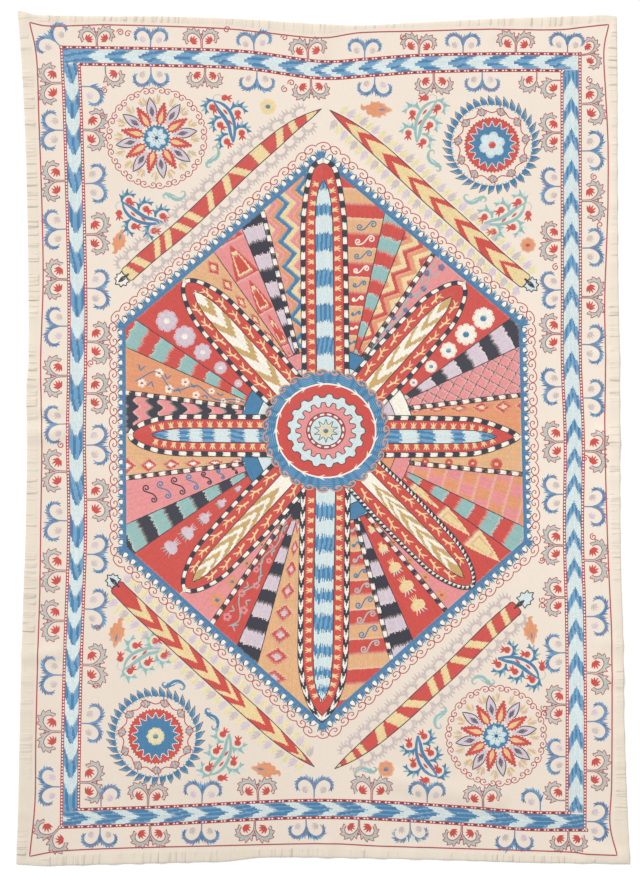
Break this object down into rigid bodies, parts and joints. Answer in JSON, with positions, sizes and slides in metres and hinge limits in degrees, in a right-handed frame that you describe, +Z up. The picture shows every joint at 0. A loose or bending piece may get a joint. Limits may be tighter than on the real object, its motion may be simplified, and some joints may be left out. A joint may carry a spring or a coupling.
{
  "type": "suzani embroidered textile",
  "caption": "Large rectangular suzani, a cream silk cloth with silk embroidery: a hexagon medallion, rays, a chevron band and leafy scroll borders, laid flat.",
  "frame": {"origin": "on the surface that the cloth lies on, under the middle of its box", "axes": "+X across the cloth, +Y along it to its top edge, +Z up, out of the embroidered face"},
  "size_m": [1.5032, 2.095, 0.008],
  "materials": {
    "cream_silk": "undyed plain-woven silk, soft sheen",
    "red_thread": "floss silk in couched stitch, madder red",
    "rust_thread": "floss silk in chain stitch, dark red",
    "blue_thread": "floss silk in couched stitch, indigo blue",
    "pale_blue_thread": "floss silk in couched stitch, pale blue",
    "teal_thread": "floss silk in couched stitch, teal green",
    "grey_green_thread": "floss silk in couched stitch, grey green",
    "black_thread": "floss silk in couched and chain stitch, blue black",
    "yellow_thread": "floss silk in couched stitch, yellow",
    "orange_thread": "floss silk in couched stitch, orange",
    "tan_thread": "floss silk in couched stitch, tan",
    "pink_thread": "floss silk in couched stitch, pink",
    "mauve_thread": "floss silk in couched stitch, pale mauve",
    "white_thread": "floss silk in couched stitch, cream white"
  },
  "bodies": {
    "root": {"ground_cloth": "cream_silk"}
  },
  "joints": []
}
